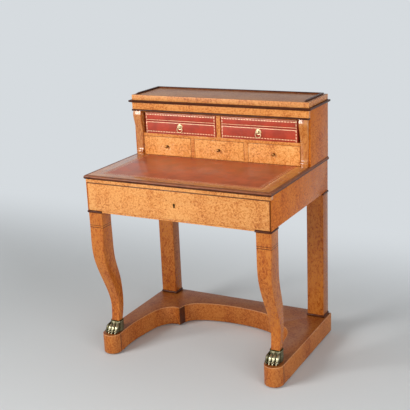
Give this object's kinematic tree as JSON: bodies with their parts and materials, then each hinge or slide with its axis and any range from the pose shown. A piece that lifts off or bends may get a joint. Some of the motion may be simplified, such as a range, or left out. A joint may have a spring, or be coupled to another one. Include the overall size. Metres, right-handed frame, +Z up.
{
  "type": "writing desk",
  "caption": "Tiered writing desk with a wide apron drawer, leather-lined top, a low case of small drawers and leather drop-front boxes, scrolled front legs on lion paws and a U-shaped plinth.",
  "frame": {"origin": "on the floor, at the middle of the desk's overall length and depth", "axes": "+X along the length, to the right of a person who faces the desk; -Y to the front, where the drawers open; +Z up"},
  "size_m": [0.784, 0.572, 1.002],
  "materials": {
    "burr_veneer": "french-polished burr veneer, glossy",
    "dark_moulding": "dark stained and polished moulding",
    "carcass_wood": "plain carcass wood, satin",
    "drawer_lining": "plain oak lining, waxed",
    "writing_leather": "polished brown leather with gilt tooling",
    "box_leather": "red leather with gilt tooling",
    "bronze": "patinated bronze with bright edges",
    "steel": "brushed steel"
  },
  "bodies": {
    "desk": {"plinth": "burr_veneer", "plinth_glides": "dark_moulding", "rear_post_right": "burr_veneer", "rear_post_left": "burr_veneer", "leg_mouldings": "dark_moulding", "front_leg_right": "burr_veneer", "front_leg_left": "burr_veneer", "paw_right": "bronze", "paw_left": "bronze", "apron_side_right": "burr_veneer", "apron_side_left": "burr_veneer", "apron_back_board": "carcass_wood", "apron_top_rail": "burr_veneer", "apron_bottom_frame": "carcass_wood", "drawer_kickers": "carcass_wood", "writing_board": "burr_veneer", "writing_leather": "writing_leather", "board_nosing": "dark_moulding", "case_side_right": "burr_veneer", "case_side_left": "burr_veneer", "case_stiles": "burr_veneer", "case_back_board": "carcass_wood", "case_shelf_board": "carcass_wood", "carton_divider_board": "carcass_wood", "small_drawer_dividers": "carcass_wood", "case_top_board": "carcass_wood", "frieze_board": "burr_veneer", "frieze_bead": "dark_moulding", "cornice": "dark_moulding", "top_block": "burr_veneer", "gallery": "dark_moulding", "console_right": "burr_veneer", "console_left": "burr_veneer"},
    "main_drawer": {"main_drawer_front": "burr_veneer", "keyhole_lining": "bronze", "main_drawer_lock": "steel", "main_drawer_sides": "drawer_lining", "main_drawer_back": "drawer_lining", "main_drawer_bottom": "drawer_lining"},
    "lock_bolt": {"lock_bolt": "steel"},
    "left_drawer": {"left_drawer_front": "burr_veneer", "left_drawer_box": "drawer_lining", "left_drawer_knob": "bronze"},
    "middle_drawer": {"middle_drawer_front": "burr_veneer", "middle_drawer_box": "drawer_lining", "middle_drawer_knob": "bronze"},
    "right_drawer": {"right_drawer_front": "burr_veneer", "right_drawer_box": "drawer_lining", "right_drawer_knob": "bronze"},
    "left_carton": {"left_carton_tray": "box_leather", "left_carton_lid": "box_leather"},
    "left_flap": {"left_carton_flap": "box_leather", "left_carton_rosette": "bronze"},
    "left_ring": {"left_carton_ring": "bronze"},
    "right_carton": {"right_carton_tray": "box_leather", "right_carton_lid": "box_leather"},
    "right_flap": {"right_carton_flap": "box_leather", "right_carton_rosette": "bronze"},
    "right_ring": {"right_carton_ring": "bronze"}
  },
  "joints": [
    {"name": "main_drawer_slide", "type": "slide", "parent": "desk", "child": "main_drawer", "axis": [0, -1, 0], "range_m": [0, 0.32]},
    {"name": "lock_bolt_slide", "type": "slide", "parent": "main_drawer", "child": "lock_bolt", "axis": [0, 0, 1], "range_m": [0, 0.007]},
    {"name": "left_drawer_slide", "type": "slide", "parent": "desk", "child": "left_drawer", "axis": [0, -1, 0], "range_m": [0, 0.13]},
    {"name": "middle_drawer_slide", "type": "slide", "parent": "desk", "child": "middle_drawer", "axis": [0, -1, 0], "range_m": [0, 0.13]},
    {"name": "right_drawer_slide", "type": "slide", "parent": "desk", "child": "right_drawer", "axis": [0, -1, 0], "range_m": [0, 0.13]},
    {"name": "left_carton_slide", "type": "slide", "parent": "desk", "child": "left_carton", "axis": [0, -1, 0], "range_m": [0, 0.08]},
    {"name": "left_flap_hinge", "type": "hinge", "parent": "left_carton", "child": "left_flap", "pos_m": [-0.17125, 0.0935, 0.8457], "axis": [1, 0, 0], "range_deg": [0, 90]},
    {"name": "left_ring_hinge", "type": "hinge", "parent": "left_flap", "child": "left_ring", "pos_m": [-0.17125, 0.086, 0.873], "axis": [-1, 0, 0], "range_deg": [0, 80]},
    {"name": "right_carton_slide", "type": "slide", "parent": "desk", "child": "right_carton", "axis": [0, -1, 0], "range_m": [0, 0.08]},
    {"name": "right_flap_hinge", "type": "hinge", "parent": "right_carton", "child": "right_flap", "pos_m": [0.17125, 0.0935, 0.8457], "axis": [1, 0, 0], "range_deg": [0, 90]},
    {"name": "right_ring_hinge", "type": "hinge", "parent": "right_flap", "child": "right_ring", "pos_m": [0.17125, 0.086, 0.873], "axis": [-1, 0, 0], "range_deg": [0, 80]}
  ]
}
